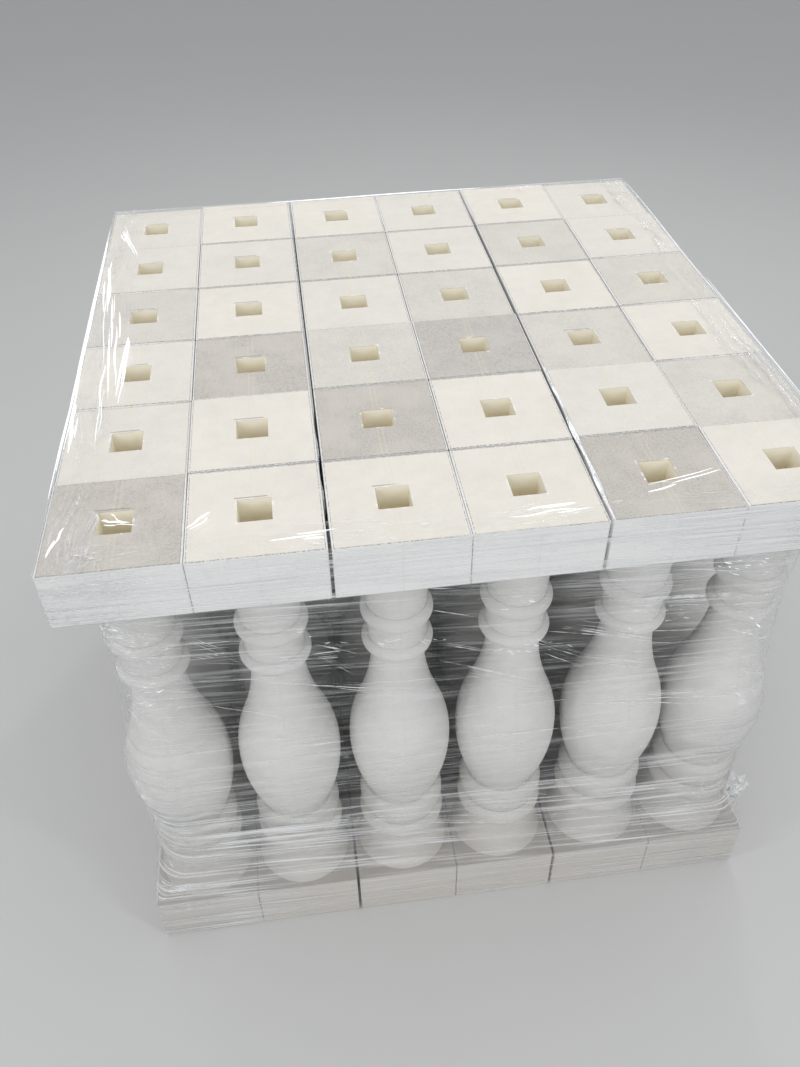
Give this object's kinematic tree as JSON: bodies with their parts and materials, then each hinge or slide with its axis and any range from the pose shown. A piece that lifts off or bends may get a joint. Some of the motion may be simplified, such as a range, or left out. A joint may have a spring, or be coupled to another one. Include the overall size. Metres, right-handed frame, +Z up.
{
  "type": "stretch-wrapped pack of cast stone balusters",
  "caption": "Square pack of turned cast stone balusters standing upright, with square base and cap blocks and dowel sockets, wound in clear stretch film.",
  "frame": {"origin": "on the floor, under the middle of the pack", "axes": "+X along the front from left to right, +Y from front to back, +Z up"},
  "size_m": [0.926, 0.9376, 0.7843],
  "materials": {
    "cast_stone": "matt cast surface, cream to grey",
    "stretch_film": "clear, glossy, wrinkled"
  },
  "bodies": {
    "root": {"baluster_a1": "cast_stone", "baluster_a2": "cast_stone", "baluster_a3": "cast_stone", "baluster_a4": "cast_stone", "baluster_a5": "cast_stone", "baluster_a6": "cast_stone", "baluster_b1": "cast_stone", "baluster_b2": "cast_stone", "baluster_b3": "cast_stone", "baluster_b4": "cast_stone", "baluster_b5": "cast_stone", "baluster_b6": "cast_stone", "baluster_c1": "cast_stone", "baluster_c2": "cast_stone", "baluster_c3": "cast_stone", "baluster_c4": "cast_stone", "baluster_c5": "cast_stone", "baluster_c6": "cast_stone", "baluster_d1": "cast_stone", "baluster_d2": "cast_stone", "baluster_d3": "cast_stone", "baluster_d4": "cast_stone", "baluster_d5": "cast_stone", "baluster_d6": "cast_stone", "baluster_e1": "cast_stone", "baluster_e2": "cast_stone", "baluster_e3": "cast_stone", "baluster_e4": "cast_stone", "baluster_e5": "cast_stone", "baluster_e6": "cast_stone", "baluster_f1": "cast_stone", "baluster_f2": "cast_stone", "baluster_f3": "cast_stone", "baluster_f4": "cast_stone", "baluster_f5": "cast_stone", "baluster_f6": "cast_stone", "film_front": "stretch_film", "film_right": "stretch_film", "film_back": "stretch_film", "film_left": "stretch_film", "film_fold": "stretch_film"}
  },
  "joints": []
}
